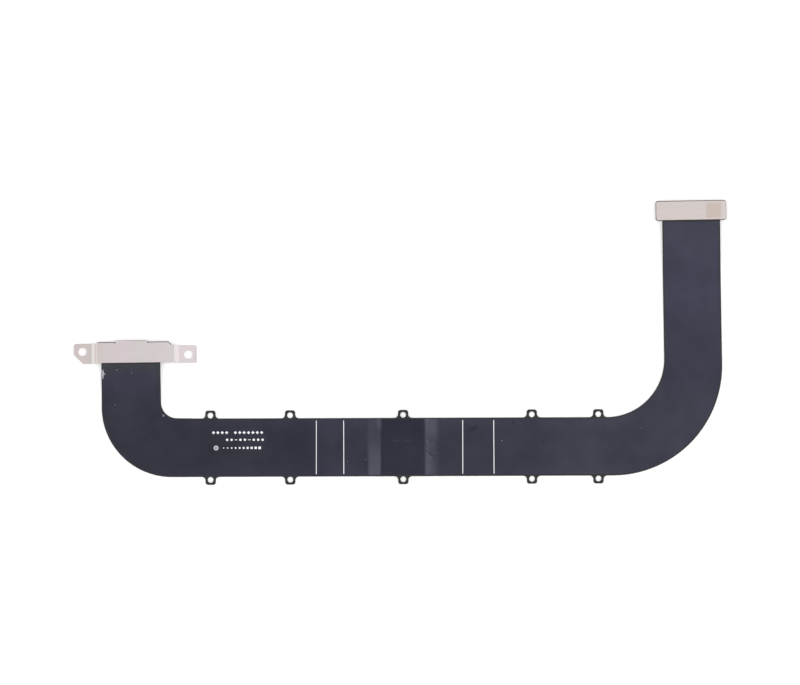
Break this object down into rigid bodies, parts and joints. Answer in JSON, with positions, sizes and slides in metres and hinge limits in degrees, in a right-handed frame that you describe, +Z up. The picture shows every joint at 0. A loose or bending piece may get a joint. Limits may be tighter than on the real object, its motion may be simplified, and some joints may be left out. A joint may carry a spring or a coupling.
{
  "type": "flat flex cable",
  "caption": "Flat flexible circuit: a long hinge strap with eyelet tabs, a short leg under a screw-eared bracket and a long leg ending in a metal-capped board plug.",
  "frame": {"origin": "on the supporting surface, under the middle of the whole part's footprint", "axes": "+X along the strap towards the long leg, +Y from the strap towards both heads, +Z up from the face that lies on the table to the printed face"},
  "size_m": [0.1208, 0.0524, 0.001],
  "materials": {
    "black_film": "satin black cover film over copper and polyimide",
    "plated_sheet": "warm satin nickel-plated sheet",
    "plug_plastic": "moulded black liquid-crystal polymer",
    "gold_contact": "thin gold plating over copper alloy"
  },
  "bodies": {
    "root": {"flex_circuit": "black_film", "screw_bracket": "plated_sheet", "connector_cap": "plated_sheet", "left_plug_housing": "plug_plastic", "left_plug_rear_contacts": "gold_contact", "left_plug_front_contacts": "gold_contact", "left_plug_left_hold_down": "gold_contact", "left_plug_right_hold_down": "gold_contact", "right_plug_housing": "plug_plastic", "right_plug_rear_contacts": "gold_contact", "right_plug_front_contacts": "gold_contact", "right_plug_left_hold_down": "gold_contact", "right_plug_right_hold_down": "gold_contact"}
  },
  "joints": []
}
